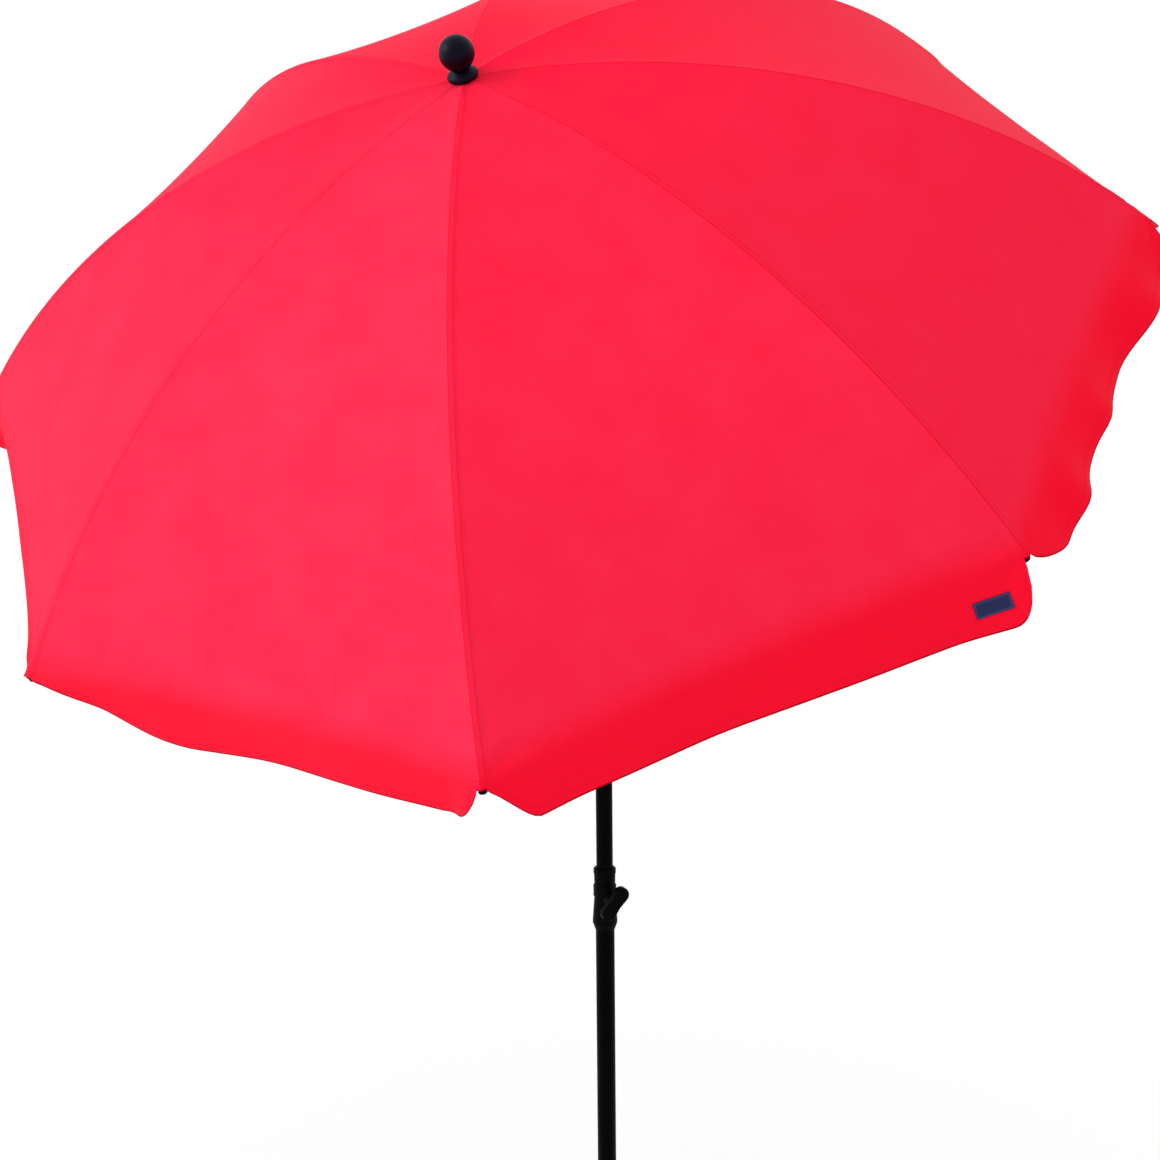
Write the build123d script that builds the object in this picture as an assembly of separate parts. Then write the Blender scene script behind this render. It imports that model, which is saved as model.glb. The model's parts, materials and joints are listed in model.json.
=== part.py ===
"""Patio umbrella with a round weighted base: folding rib frame, tilting two-piece mast, stretched cover.

Millimetres, +Z up. The origin is the centre of the base's underside. The umbrella stands as it is used in
the sun: canopy open and tilted forwards, towards -Y.
"""
from build123d import *
from math import acos, asin, cos, degrees, radians, sin, sqrt, tan
import os

# Overall stance
TILT_HEIGHT = 1380.0         # floor to the tilt pivot
TILT_ANGLE = 36.0            # how far the canopy leans from upright
CANOPY_REACH = 869.0         # tilt pivot to the top of the cover, along the canopy's own axis

# Cover
RIB_COUNT = 8
RIB_PHASE = 13.8             # turn of the first rib from the direction of the lean
RIM_RADIUS = 850.0           # canopy axis to a rib tip, on the cover
BOW_RADIUS = 1155.0          # curve of a rib when the cover is stretched
FABRIC = 1.2                 # cover thickness, hems and coating included
COVER_HOLE = 16.0            # radius of the opening for the finial at the top of the cover
CREASE_SETBACK = 25.0        # fold of the valance, up the slope from the rib tips
VALANCE_DEPTH = 78.0         # hanging edge below the fold, along the cloth
VALANCE_SLOPE = 62.0         # how steeply the valance hangs below the rim plane
VALANCE_CORNER = 28.0        # rounded lower corners beside each rib tip
TIP_NOTCH = 7.0              # half width of the cut-out that lets a rib tip through
MIDLINE_GAP = 0.5            # between neighbouring cover segments, halfway between two ribs

# Ribs: pressed channels, open below, with plastic end caps
RIB_WIDTH = 7.0
RIB_HEIGHT = 7.5
RIB_WALL = 1.0
RIB_COVER_GAP = 3.3          # rib top below the inside of the cover, room for the end caps and seam
RIB_END_SETBACK = 4.0        # rib end, short of the rim
RIB_EYE = 4.0                # rib end, inside its pivot
CAP_LENGTH = 22.0
CAP_GRIP = 12.0              # how far a cap slips over its rib
CAP_WALL = 0.8
CAP_FIT = 0.1                # rib to the walls of its cap
CAP_ROUND = 3.6

# Folding linkage
PIVOT_RADIUS = 26.0          # rib pivots at the crown and stretcher pivots at the runner, from the axis
JOINT_RADIUS = 360.0         # where a stretcher meets its rib
JOINT_OFFSET = 1.0           # stretcher rivet, below the middle of the rib channel
STRETCHER_LENGTH = 400.0
STRETCHER_WIDTH = 4.4
STRETCHER_HEIGHT = 6.0
PIN_DIAMETER = 3.0
PIN_CLEARANCE = 0.05         # radial
PIN_GRIP = 3.6               # pin length held in the wall at each side of a slot
FOLD_ANGLE = 63.0            # rib swing from open to closed

# Crown and runner
HUB_RADIUS = 36.0
HUB_HEIGHT = 15.0
HUB_COVER_GAP = 1.8          # hub top below the inside of the cover, on the axis
SLOT_SIDE_GAP = 0.35         # rib or stretcher to the wall of its slot
SLOT_END_GAP = 6.4           # slot end, inside the pivot
SPIGOT_LENGTH = 36.0         # plugs that hold the tubes
SPIGOT_CLEARANCE = 0.05
RUNNER_ABOVE = 8.0           # runner flange above and below the stretcher pivots
RUNNER_BELOW = 9.0
RUNNER_CLEARANCE = 0.1
SLEEVE_LENGTH = 46.0
SLEEVE_WALL = 4.2
GRIP_HEIGHT = 12.0
GRIP_FLARE = 3.0

# Finial
STUD_DIAMETER = 8.0
STUD_DEPTH = 22.0            # length screwed into the crown
COLLAR_RADIUS = 20.5
COLLAR_HEIGHT = 13.0
COLLAR_NECK = 12.0           # radius under the ball
COLLAR_EDGE = 4.0            # rounded rim
COLLAR_SEAT = 0.3            # collar above the cover
BALL_DIAMETER = 45.6
BALL_CENTRE = 34.0           # above the cover

# Mast tubes
UPPER_DIAMETER = 28.0
LOWER_DIAMETER = 32.0
TUBE_WALL = 1.2
UPPER_BOTTOM = 500.0         # lower end of the upper tube, from the floor
LOWER_BOTTOM = 14.2
FOOT_GAP = 0.2               # lower tube above the socket floor
GLIDE_LENGTH = 16.0
GLIDE_CLEARANCE = 0.05

# Tilt knuckle
KNUCKLE_RADIUS = 18.0        # round body
KNUCKLE_EDGE = 1.5
CHEEK_RADIUS = 17.0          # round ends of the cheeks and the tongue
SHOULDER = 20.5              # body above and below the pivot
BODY_LENGTH = 24.0
TONGUE_WIDTH = 14.0
CHEEK_GAP = 0.2
PIVOT_DIAMETER = 8.0
PIVOT_HEAD = 12.0
PIVOT_HEAD_HEIGHT = 2.4
PLUNGER_RADIUS = 2.0
PLUNGER_OFFSET = 12.5        # plunger below the pivot
PLUNGER_REACH = 4.0          # plunger inside the tongue's slot
BUTTON_RADIUS = 5.5
BUTTON_RECESS = 8.3          # depth of the well that the button sinks into
BUTTON_LENGTH = 7.0
BUTTON_PROUD = 3.4
BUTTON_EDGE = 1.2
SPRING_WIRE = 0.7            # flat wire, across and along the coil
SPRING_TURNS = 3
SPRING_RADIUS = 3.7
SPRING_GAP = 0.1             # spring ends, short of the well floor and the button

# Height clamp on top of the lower tube
CLAMP_BOTTOM = 746.0
CLAMP_HEIGHT = 109.0
CLAMP_FOOT = 0.8             # wall at the lower end
CLAMP_SKIRT = 21.0           # widest radius, near the bottom
CLAMP_SKIRT_HEIGHT = 16.0
CLAMP_SKIRT_BAND = 4.0       # upright part of the skirt
CLAMP_WAIST = 17.4
CLAMP_WAIST_HEIGHT = 66.0
CLAMP_NECK = 18.2            # under the top ring
CLAMP_RING = 19.0
CLAMP_RING_HEIGHT = 9.0      # top ring
CLAMP_RING_EDGE = 2.0
CLAMP_LIP = 5.0              # lip over the liner
LIP_CLEARANCE = 0.5          # upper tube in the lip
CLAMP_BEAD = 2.0             # stiffening bead round the waist, proud of it
CLAMP_BEAD_HEIGHT = 69.0     # middle of the bead, from the clamp's lower end
CLAMP_BEAD_WIDTH = 22.0
LINER_LENGTH = 15.0
SCREW_HEIGHT = 803.0         # wing screw, from the floor
SCREW_AZIMUTH = -45.0
SCREW_DIAMETER = 8.0
SCREW_TIP_GAP = 0.3
BOSS_RADIUS = 11.0
BOSS_REACH = 30.0
NUT_FLATS = 13.0
NUT_LENGTH = 6.5
WING_START = 32.5            # wing knob, from the mast axis
WING_THICKNESS = 12.0
WING_LOBE = 13.0
WING_SPREAD = 18.5           # screw axis to the middle of a lobe
WING_HUB = 11.0
WING_TURN = 50.0             # wing line above level, on the right
WING_EDGE = 2.5

# Base
BASE_RADIUS = 240.0
BASE_EDGE = 30.0             # height of the rim
BASE_HEIGHT = 75.0
BASE_TOP_RADIUS = 75.0
BASE_CROWN = 60.6            # height of the curved top, halfway out
PAD_RADIUS = 226.0
PAD_THICKNESS = 3.0
SOCKET_RADIUS = 21.0
SOCKET_WALL = 2.5
SOCKET_TOP = 300.0
SOCKET_FLOOR = 2.0
SOCKET_CLEARANCE = 0.3       # tube in the weight's hole
FLANGE_RADIUS = 62.0
FLANGE_THICKNESS = 4.0
BOLT_CIRCLE = 45.0
BOLT_DIAMETER = 8.0
BOLT_DEPTH = 32.0
BOLT_HEAD_FLATS = 13.0
BOLT_HEAD_HEIGHT = 5.3
BUSH_LENGTH = 46.0
BUSH_RIM = 5.0
BUSH_CLEARANCE = 0.06
FOOT_BUSH_LENGTH = 40.0
BASE_SCREW_HEIGHT = 228.0
BASE_SCREW_DIAMETER = 10.0
BASE_BOSS_RADIUS = 10.0
BASE_BOSS_REACH = 35.0
KNOB_START = 40.0
KNOB_LENGTH = 16.0
KNOB_RADIUS = 19.0
KNOB_LOBES = 6
KNOB_HOLLOW = 7.0            # radius of the hollows between lobes

# Places that follow from the sizes above
RIB_STEP = 360.0 / RIB_COUNT
HALF_STEP = RIB_STEP / 2
CHORD = cos(radians(HALF_STEP))
BOW_CENTRE = CANOPY_REACH - BOW_RADIUS
RIB_TOP = BOW_RADIUS - FABRIC - RIB_COVER_GAP
RIB_MIDDLE = RIB_TOP - RIB_HEIGHT / 2
TIP_SLOPE = asin(RIM_RADIUS / BOW_RADIUS)
CREASE_RADIUS = BOW_RADIUS * sin(TIP_SLOPE - CREASE_SETBACK / BOW_RADIUS)
RIB_START_ANGLE = degrees(asin((PIVOT_RADIUS - RIB_EYE) / RIB_MIDDLE))
RIB_END_ANGLE = degrees(TIP_SLOPE - RIB_END_SETBACK / BOW_RADIUS)
HUB_TOP = CANOPY_REACH - FABRIC - HUB_COVER_GAP
HUB_BOTTOM = HUB_TOP - HUB_HEIGHT
UPPER_BORE = UPPER_DIAMETER / 2 - TUBE_WALL
LOWER_BORE = LOWER_DIAMETER / 2 - TUBE_WALL
UPPER_TOP = TILT_HEIGHT - SHOULDER - BODY_LENGTH
CANOPY_POLE_BOTTOM = SHOULDER + BODY_LENGTH
CLAMP_TOP = CLAMP_BOTTOM + CLAMP_HEIGHT
LINER_TOP = CLAMP_TOP - CLAMP_LIP
LOWER_TOP = LINER_TOP - LINER_LENGTH
SOCKET_BORE = SOCKET_RADIUS - SOCKET_WALL
SOCKET_BOTTOM = LOWER_BOTTOM - FOOT_GAP - SOCKET_FLOOR
CHEEK_INNER = TONGUE_WIDTH / 2 + CHEEK_GAP

# Linkage in the plane of one rib: distance from the canopy axis, height above the tilt pivot
CROWN_PIVOT = (PIVOT_RADIUS, BOW_CENTRE + sqrt(RIB_MIDDLE**2 - PIVOT_RADIUS**2))
JOINT_PIVOT = (JOINT_RADIUS, BOW_CENTRE + sqrt((RIB_MIDDLE - JOINT_OFFSET) ** 2 - JOINT_RADIUS**2))
RUNNER_DROP = sqrt(STRETCHER_LENGTH**2 - (JOINT_RADIUS - PIVOT_RADIUS) ** 2)
RUNNER_PIVOT = (PIVOT_RADIUS, JOINT_PIVOT[1] - RUNNER_DROP)


def in_head(shape):
    """Place a shape built on the upright canopy axis, with the tilt pivot at its origin."""
    return Pos(0, 0, TILT_HEIGHT) * Rot(TILT_ANGLE, 0, 0) * shape


def rib_azimuth(index):
    return RIB_PHASE - 90 + RIB_STEP * index


def at_rib(shape, index):
    """Place a shape built in the plane of a rib along +X."""
    return in_head(Rot(0, 0, rib_azimuth(index)) * shape)


def cross_pin(radius, length, centre):
    """Round pin or hole across a rib, at a point of the rib's plane."""
    return Pos(centre[0], 0, centre[1]) * Rot(90, 0, 0) * Cylinder(radius, length)


def tube(outer, wall, bottom, top):
    middle = (bottom + top) / 2
    return Pos(0, 0, middle) * (Cylinder(outer, top - bottom) - Cylinder(outer - wall, top - bottom + 2))


def disc(radius, bottom, top):
    return Pos(0, 0, (bottom + top) / 2) * Cylinder(radius, top - bottom)


def sideways(shape, azimuth, height):
    """Turn a shape built along +Z so that it points outwards from the mast."""
    return Pos(0, 0, height) * Rot(0, 0, azimuth) * Rot(0, 90, 0) * shape


# Cover: eight segments, each centred on its rib
def panel_profile():
    """Section of the cover halfway between two ribs: a bowed top and the hanging valance."""
    def point(radius, depth):
        slope = asin(radius / BOW_RADIUS)
        reach = (BOW_RADIUS - depth) * sin(slope) * CHORD
        return (reach, BOW_CENTRE + (BOW_RADIUS - depth) * cos(slope))

    hang = (cos(radians(VALANCE_SLOPE)), -sin(radians(VALANCE_SLOPE)))
    inward = (hang[1], -hang[0])
    fold_out = point(CREASE_RADIUS, 0)
    hem_out = (fold_out[0] + VALANCE_DEPTH * hang[0], fold_out[1] + VALANCE_DEPTH * hang[1])
    hem_in = (hem_out[0] + FABRIC * inward[0], hem_out[1] + FABRIC * inward[1])
    fold_in = point(CREASE_RADIUS - FABRIC / 4, FABRIC)
    middle = (COVER_HOLE + CREASE_RADIUS) / 2
    outline = [
        ThreePointArc(point(COVER_HOLE, 0), point(middle, 0), fold_out),
        Polyline(fold_out, hem_out, hem_in, fold_in),
        ThreePointArc(fold_in, point(middle, FABRIC), point(COVER_HOLE, FABRIC)),
        Line(point(COVER_HOLE, FABRIC), point(COVER_HOLE, 0)),
    ]
    return make_face(outline), fold_out


def half_panel():
    """The cover from a rib along +X to the midline of the panel on its left."""
    profile, fold = panel_profile()
    half_width = CREASE_RADIUS * sin(radians(HALF_STEP))
    reach = half_width + VALANCE_DEPTH
    sheet = extrude(Plane.XZ * profile, reach, both=True)
    hang = Plane(
        origin=(fold[0], 0, fold[1]),
        x_dir=(0, 1, 0),
        z_dir=(sin(radians(VALANCE_SLOPE)), 0, cos(radians(VALANCE_SLOPE))),
    )
    tall = 3 * VALANCE_CORNER + VALANCE_DEPTH
    width = 2 * (half_width - TIP_NOTCH)
    kept = Pos(0, tall / 2 - VALANCE_DEPTH) * RectangleRounded(width, tall, VALANCE_CORNER)
    below = Pos(0, -VALANCE_DEPTH - 2) * Rectangle(4 * reach, 2 * VALANCE_DEPTH)
    sheet -= extrude(hang * (below - kept), 8 * FABRIC, both=True)
    far = 2 * RIM_RADIUS
    edge = MIDLINE_GAP / 2 / sin(radians(HALF_STEP))
    turned = Rot(0, 0, HALF_STEP) * sheet
    slice_plan = Polygon(
        (edge, 0), (far, 0), (far, (far - edge) * tan(radians(HALF_STEP))), align=None
    )
    return turned & extrude(slice_plan, 2 * far, both=True)


def cover_segment():
    half = half_panel()
    return half + mirror(half, about=Plane.XZ)


# Ribs, end caps and stretchers
def along_bow(shape, angle):
    """Carry a shape from the top of the bow down along it by an angle."""
    return shape.rotate(Axis((0, 0, BOW_CENTRE), (0, 1, 0)), angle)


def rib_channel():
    section_plane = Plane(origin=(0, 0, BOW_CENTRE), x_dir=(0, 1, 0), z_dir=(1, 0, 0))
    solid = Pos(0, RIB_MIDDLE) * Rectangle(RIB_WIDTH, RIB_HEIGHT)
    groove = Pos(0, RIB_MIDDLE - RIB_WALL) * Rectangle(RIB_WIDTH - 2 * RIB_WALL, RIB_HEIGHT)
    section = section_plane * (solid - groove)
    axis = Axis((0, 0, BOW_CENTRE), (0, 1, 0))
    channel = along_bow(revolve(section, axis, RIB_END_ANGLE - RIB_START_ANGLE), RIB_START_ANGLE)
    hole = PIN_DIAMETER / 2 + PIN_CLEARANCE
    return channel - cross_pin(hole, 2 * RIB_WIDTH, CROWN_PIVOT)


def joint_rivet():
    """Flush rivet set tight in the channel walls, with the stretcher turning on its shank."""
    return cross_pin(PIN_DIAMETER / 2, RIB_WIDTH, JOINT_PIVOT)


def rib_cap():
    """Closed plastic cap over a rib end, built at the top of the bow and pointing along +X."""
    width = RIB_WIDTH + 2 * CAP_WALL
    height = RIB_HEIGHT + 2 * CAP_WALL
    body = Pos(CAP_LENGTH / 2 - CAP_GRIP, 0, 0) * Box(CAP_LENGTH, width, height)
    body = fillet(body.faces().sort_by(Axis.X)[-1].edges(), CAP_ROUND)
    slack = 2 * CAP_FIT
    pocket = Box(CAP_GRIP + slack, RIB_WIDTH + slack, RIB_HEIGHT + slack)
    body -= Pos((slack - CAP_GRIP) / 2, 0, 0) * pocket
    return along_bow(Pos(0, 0, BOW_CENTRE + RIB_MIDDLE) * body, RIB_END_ANGLE)


def stretcher():
    """Flat bar with round ends: riveted to the rib, and cross-pinned where it meets the runner."""
    across = JOINT_PIVOT[0] - RUNNER_PIVOT[0]
    middle = ((JOINT_PIVOT[0] + RUNNER_PIVOT[0]) / 2, (JOINT_PIVOT[1] + RUNNER_PIVOT[1]) / 2)
    lean = degrees(acos(across / STRETCHER_LENGTH))
    outline = Pos(*middle) * Rot(0, 0, lean) * SlotCenterToCenter(STRETCHER_LENGTH, STRETCHER_HEIGHT)
    bar = extrude(Plane.XZ * outline, STRETCHER_WIDTH / 2, both=True)
    bar -= cross_pin(PIN_DIAMETER / 2 + PIN_CLEARANCE, 2 * STRETCHER_WIDTH, JOINT_PIVOT)
    length = STRETCHER_WIDTH + 2 * (SLOT_SIDE_GAP + PIN_GRIP)
    return bar + cross_pin(PIN_DIAMETER / 2, length, RUNNER_PIVOT)


# Crown and runner
def radial_slots(width, start, bottom, top):
    """Slots that run out past the rim, one for each rib."""
    length = 2 * HUB_RADIUS
    slots = Part()
    for index in range(RIB_COUNT):
        slot = Pos(start + length / 2, 0, (bottom + top) / 2) * Box(length, width, top - bottom)
        slots += Rot(0, 0, rib_azimuth(index)) * slot
    return slots


def crown_hub():
    """Slotted disc on a plug; the pins lie in grooves that are open above, under the cover."""
    hub = disc(HUB_RADIUS, HUB_BOTTOM, HUB_TOP)
    width = RIB_WIDTH + 2 * SLOT_SIDE_GAP
    hub -= radial_slots(width, PIVOT_RADIUS - SLOT_END_GAP, HUB_BOTTOM - 1, HUB_TOP + 1)
    hub += disc(UPPER_BORE - SPIGOT_CLEARANCE, HUB_BOTTOM - SPIGOT_LENGTH, HUB_BOTTOM)
    hub -= disc(STUD_DIAMETER / 2, HUB_TOP - STUD_DEPTH, HUB_TOP + 1)
    groove_bottom = CROWN_PIVOT[1] - PIN_DIAMETER / 2
    groove = Box(PIN_DIAMETER, width + 2 * PIN_GRIP, 2 * (HUB_TOP - groove_bottom))
    for index in range(RIB_COUNT):
        hub -= Rot(0, 0, rib_azimuth(index)) * Pos(PIVOT_RADIUS, 0, HUB_TOP) * groove
    return hub


def crown_pins():
    length = RIB_WIDTH + 2 * SLOT_SIDE_GAP + 2 * PIN_GRIP
    pin = cross_pin(PIN_DIAMETER / 2, length, CROWN_PIVOT)
    return Compound(children=[at_rib(pin, index) for index in range(RIB_COUNT)])


def runner():
    """Sleeve on the canopy pole with a slotted flange; each pivot seat is open below and outwards."""
    pivot_height = RUNNER_PIVOT[1]
    bottom = pivot_height - RUNNER_BELOW
    top = pivot_height + RUNNER_ABOVE
    bore = UPPER_DIAMETER / 2 + RUNNER_CLEARANCE
    body = disc(HUB_RADIUS, bottom, top)
    slot = STRETCHER_WIDTH + 2 * SLOT_SIDE_GAP
    body -= radial_slots(slot, PIVOT_RADIUS - SLOT_END_GAP, bottom - 1, top + 1)
    seat = PIN_DIAMETER / 2 + 2 * PIN_CLEARANCE
    length = slot + 2 * (PIN_GRIP + 2 * PIN_CLEARANCE)
    drop = 2 * RUNNER_BELOW
    way_out = Polygon((-seat, seat), (seat, seat), (seat + drop, -drop), (-seat, -drop), align=None)
    opening = extrude(Plane.XZ * (Pos(*RUNNER_PIVOT) * way_out), length / 2, both=True)
    for index in range(RIB_COUNT):
        body -= Rot(0, 0, rib_azimuth(index)) * opening
    sleeve = disc(bore + SLEEVE_WALL, bottom - SLEEVE_LENGTH, bottom)
    grip_end = bottom - SLEEVE_LENGTH
    grip = disc(bore + SLEEVE_WALL + GRIP_FLARE, grip_end, grip_end + GRIP_HEIGHT)
    grip = chamfer(grip.edges().filter_by(GeomType.CIRCLE), GRIP_FLARE / 2)
    body += sleeve + grip
    return body - disc(bore, bottom - SLEEVE_LENGTH - 1, top + 1)


# Finial
def finial_collar():
    base = CANOPY_REACH + COLLAR_SEAT
    outline = [
        Line((STUD_DIAMETER / 2, base), (COLLAR_RADIUS - COLLAR_EDGE / 2, base)),
        ThreePointArc(
            (COLLAR_RADIUS - COLLAR_EDGE / 2, base),
            (COLLAR_RADIUS, base + COLLAR_EDGE),
            (COLLAR_RADIUS - COLLAR_EDGE / 2, base + 2 * COLLAR_EDGE),
        ),
        Line((COLLAR_RADIUS - COLLAR_EDGE / 2, base + 2 * COLLAR_EDGE), (COLLAR_NECK, base + COLLAR_HEIGHT)),
        Line((COLLAR_NECK, base + COLLAR_HEIGHT), (STUD_DIAMETER / 2, base + COLLAR_HEIGHT)),
        Line((STUD_DIAMETER / 2, base + COLLAR_HEIGHT), (STUD_DIAMETER / 2, base)),
    ]
    return revolve(Plane.XZ * make_face(outline), Axis.Z)


def finial_ball():
    """Ball with a flat seat on the collar and a blind hole for the stud."""
    seat = CANOPY_REACH + COLLAR_SEAT + COLLAR_HEIGHT
    centre = CANOPY_REACH + BALL_CENTRE
    ball = Pos(0, 0, centre) * Sphere(BALL_DIAMETER / 2)
    ball -= disc(BALL_DIAMETER, seat - BALL_DIAMETER, seat)
    return ball - disc(STUD_DIAMETER / 2, seat - 1, centre)


def finial_stud():
    return disc(STUD_DIAMETER / 2, HUB_TOP - STUD_DEPTH, CANOPY_REACH + BALL_CENTRE)


# Tilt knuckle
def knuckle_plate(inner, outer, reach):
    """Round-ended plate across X, from the pivot towards a body above (reach > 0) or below."""
    plan = Circle(CHEEK_RADIUS) + Pos(0, reach / 2) * Rectangle(2 * CHEEK_RADIUS, abs(reach))
    return Pos(inner, 0, 0) * extrude(Plane.YZ * plan, outer - inner)


def across_knuckle(radius, start, end, height):
    """Round piece along X, above or below the pivot."""
    return Pos((start + end) / 2, 0, height) * Rot(0, 90, 0) * Cylinder(radius, end - start)


def tilt_tongue():
    """Upper half of the knuckle, plugged into the canopy pole."""
    body = disc(KNUCKLE_RADIUS, SHOULDER, CANOPY_POLE_BOTTOM)
    body = chamfer(body.edges().group_by(Axis.Z)[0], KNUCKLE_EDGE)
    body += disc(UPPER_BORE - SPIGOT_CLEARANCE, CANOPY_POLE_BOTTOM, CANOPY_POLE_BOTTOM + SPIGOT_LENGTH)
    plate = knuckle_plate(-TONGUE_WIDTH / 2, TONGUE_WIDTH / 2, SHOULDER + BODY_LENGTH / 2)
    body += plate & disc(KNUCKLE_RADIUS, -2 * SHOULDER, CANOPY_POLE_BOTTOM)
    body -= across_knuckle(PIVOT_DIAMETER / 2 + PIN_CLEARANCE, -SHOULDER, SHOULDER, 0)
    swing = CenterArc((0, 0), PLUNGER_OFFSET, -90 - TILT_ANGLE, TILT_ANGLE)
    slot = SlotArc(swing, 2 * PLUNGER_RADIUS + 2 * SLOT_SIDE_GAP)
    return body - extrude(Plane.YZ * slot, TONGUE_WIDTH, both=True)


def tilt_yoke():
    """Lower half of the knuckle, plugged into the upper tube, with two cheeks and a button well."""
    bottom = -SHOULDER - BODY_LENGTH
    body_plan = Pos(0, bottom / 2 - SHOULDER / 2) * Rectangle(3 * KNUCKLE_RADIUS, BODY_LENGTH)
    cheek_plan = Circle(CHEEK_RADIUS) + Pos(0, -SHOULDER / 2) * Rectangle(2 * CHEEK_RADIUS, SHOULDER)
    body = extrude(Plane.YZ * (body_plan + cheek_plan), KNUCKLE_RADIUS + 1, both=True)
    body = body & disc(KNUCKLE_RADIUS, bottom, CHEEK_RADIUS)
    gap = Box(2 * CHEEK_INNER, 3 * KNUCKLE_RADIUS, 2 * SHOULDER)
    body -= gap
    hole = PLUNGER_RADIUS + PIN_CLEARANCE
    well = BUTTON_RADIUS + SLOT_SIDE_GAP
    body -= across_knuckle(PIVOT_DIAMETER / 2, -2 * SHOULDER, 2 * SHOULDER, 0)
    body -= across_knuckle(well, KNUCKLE_RADIUS - BUTTON_RECESS, 2 * SHOULDER, -PLUNGER_OFFSET)
    body -= across_knuckle(hole, 0, 2 * SHOULDER, -PLUNGER_OFFSET)
    body += disc(UPPER_BORE - SPIGOT_CLEARANCE, bottom - SPIGOT_LENGTH, bottom)
    return Pos(0, 0, TILT_HEIGHT) * body


def tilt_pin():
    pin = across_knuckle(PIVOT_DIAMETER / 2, -KNUCKLE_RADIUS, KNUCKLE_RADIUS, 0)
    for side in (-1, 1):
        edge = side * KNUCKLE_RADIUS
        outer = side * (KNUCKLE_RADIUS + PIVOT_HEAD_HEIGHT)
        pin += across_knuckle(PIVOT_HEAD / 2, min(edge, outer), max(edge, outer), 0)
    return Pos(0, 0, TILT_HEIGHT) * pin


def tilt_button():
    face = KNUCKLE_RADIUS + BUTTON_PROUD
    cap = across_knuckle(BUTTON_RADIUS, face - BUTTON_LENGTH, face, -PLUNGER_OFFSET)
    cap = chamfer(cap.edges().group_by(Axis.X)[-1], BUTTON_EDGE)
    start = TONGUE_WIDTH / 2 - PLUNGER_REACH
    cap += across_knuckle(PLUNGER_RADIUS, start, face - BUTTON_LENGTH, -PLUNGER_OFFSET)
    return Pos(0, 0, TILT_HEIGHT) * cap


def button_spring():
    floor = KNUCKLE_RADIUS - BUTTON_RECESS
    back = KNUCKLE_RADIUS + BUTTON_PROUD - BUTTON_LENGTH
    height = back - floor - SPRING_WIRE - 2 * SPRING_GAP
    path = Helix(height / SPRING_TURNS, height, SPRING_RADIUS)
    start = Plane(origin=path @ 0, x_dir=(1, 0, 0), z_dir=(0, 1, 0))
    axis = Edge.make_line((0, 0, 0), (0, 0, height))
    coil = sweep(start * Rectangle(SPRING_WIRE, SPRING_WIRE), path, binormal=axis)
    coil = Rot(0, 90, 0) * coil
    return Pos(floor + SPRING_WIRE / 2 + SPRING_GAP, 0, TILT_HEIGHT - PLUNGER_OFFSET) * coil


# Height clamp
def clamp_body():
    """Moulded clamp: flared skirt, waist with a bead, lipped top ring, boss for the wing screw."""
    lip_bore = UPPER_DIAMETER / 2 + LIP_CLEARANCE
    outline = [
        (lip_bore, CLAMP_BOTTOM),
        (LOWER_DIAMETER / 2 + CLAMP_FOOT, CLAMP_BOTTOM),
        (CLAMP_SKIRT, CLAMP_BOTTOM + CLAMP_SKIRT_HEIGHT - CLAMP_SKIRT_BAND),
        (CLAMP_SKIRT, CLAMP_BOTTOM + CLAMP_SKIRT_HEIGHT),
        (CLAMP_WAIST, CLAMP_BOTTOM + CLAMP_WAIST_HEIGHT),
        (CLAMP_NECK, CLAMP_TOP - CLAMP_RING_HEIGHT),
        (CLAMP_RING, CLAMP_TOP - CLAMP_RING_HEIGHT),
        (CLAMP_RING, CLAMP_TOP - CLAMP_RING_EDGE),
        (CLAMP_RING - CLAMP_RING_EDGE, CLAMP_TOP),
        (lip_bore, CLAMP_TOP),
    ]
    body = revolve(Plane.XZ * Polygon(*outline, align=None), Axis.Z)
    bead = disc(CLAMP_WAIST + CLAMP_BEAD, -CLAMP_BEAD_WIDTH / 2, CLAMP_BEAD_WIDTH / 2)
    bead = chamfer(bead.edges().filter_by(GeomType.CIRCLE), CLAMP_BEAD)
    body += Pos(0, 0, CLAMP_BOTTOM + CLAMP_BEAD_HEIGHT) * bead
    body += sideways(disc(BOSS_RADIUS, 0, BOSS_REACH), SCREW_AZIMUTH, SCREW_HEIGHT)
    body -= disc(LOWER_DIAMETER / 2, CLAMP_BOTTOM - 1, LINER_TOP)
    nut_pocket = extrude(RegularPolygon(NUT_FLATS / 2, 6, major_radius=False), NUT_LENGTH)
    body -= sideways(Pos(0, 0, BOSS_REACH - NUT_LENGTH) * nut_pocket, SCREW_AZIMUTH, SCREW_HEIGHT)
    hole = disc(SCREW_DIAMETER / 2 + PIN_CLEARANCE, 0, 2 * BOSS_REACH)
    return body - sideways(hole, SCREW_AZIMUTH, SCREW_HEIGHT)


def clamp_nut():
    nut = extrude(RegularPolygon(NUT_FLATS / 2, 6, major_radius=False), NUT_LENGTH)
    nut -= Cylinder(SCREW_DIAMETER / 2 + PIN_CLEARANCE, 4 * NUT_LENGTH)
    return sideways(Pos(0, 0, BOSS_REACH - NUT_LENGTH) * nut, SCREW_AZIMUTH, SCREW_HEIGHT)


def clamp_liner():
    wall = LOWER_DIAMETER / 2 - UPPER_DIAMETER / 2 - RUNNER_CLEARANCE
    return tube(LOWER_DIAMETER / 2, wall, LOWER_TOP, LINER_TOP)


def height_screw():
    tip = UPPER_DIAMETER / 2 + SCREW_TIP_GAP
    stud = disc(SCREW_DIAMETER / 2, tip, WING_START + WING_THICKNESS / 2)
    return sideways(stud, SCREW_AZIMUTH, SCREW_HEIGHT)


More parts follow.
